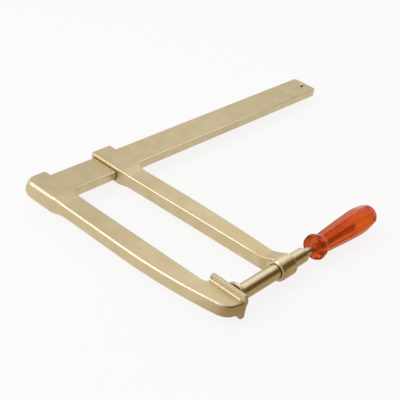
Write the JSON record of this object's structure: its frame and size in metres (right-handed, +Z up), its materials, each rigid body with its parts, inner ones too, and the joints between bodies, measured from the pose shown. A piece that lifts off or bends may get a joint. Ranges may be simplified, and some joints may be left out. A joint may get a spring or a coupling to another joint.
{
  "type": "deep throat screw clamp",
  "caption": "Bronze bar clamp with long arms, a sliding arm on a flat rail, and a screw spindle with a swivelling pad and an amber plastic handle.",
  "frame": {"origin": "centre of the fixed jaw's clamping face, on the spindle's axis", "axes": "+X along the spindle towards the handle and along the rail to its free end, +Y from the spindle towards the rail, +Z up, square to both arms"},
  "size_m": [0.4565, 0.2669, 0.0294],
  "materials": {
    "cast_bronze": "satin, finely blasted",
    "turned_bronze": "turned, satin gloss",
    "pin_steel": "bright drawn",
    "amber_plastic": "clear moulded, glossy"
  },
  "bodies": {
    "frame": {"rail": "cast_bronze", "fixed_arm": "cast_bronze", "head_pin_1": "pin_steel", "head_pin_2": "pin_steel", "rail_stop_pin": "turned_bronze"},
    "slider": {"sliding_arm": "cast_bronze"},
    "screw_feed": {"pad_clip": "pin_steel"},
    "screw": {"spindle": "turned_bronze", "handle": "amber_plastic"},
    "pad": {"pressure_pad": "turned_bronze"}
  },
  "joints": [
    {"name": "arm_slide", "type": "slide", "parent": "frame", "child": "slider", "axis": [1, 0, 0], "range_m": [0, 0.32]},
    {"name": "spindle_feed", "type": "slide", "parent": "slider", "child": "screw_feed", "axis": [1, 0, 0], "range_m": [0, 0.05]},
    {"name": "spindle_turn", "type": "hinge", "parent": "screw_feed", "child": "screw", "pos_m": [0.07, 0, 0], "axis": [1, 0, 0], "range_deg": [-1, 9001]},
    {"name": "pad_tilt", "type": "hinge", "parent": "screw_feed", "child": "pad", "pos_m": [0.0064, 0, 0], "axis": [0, 0, 1], "range_deg": [-5, 5]}
  ],
  "couplings": [
    {"joint": "spindle_turn", "follows": "spindle_feed", "rad_per_m": 3141.6}
  ]
}
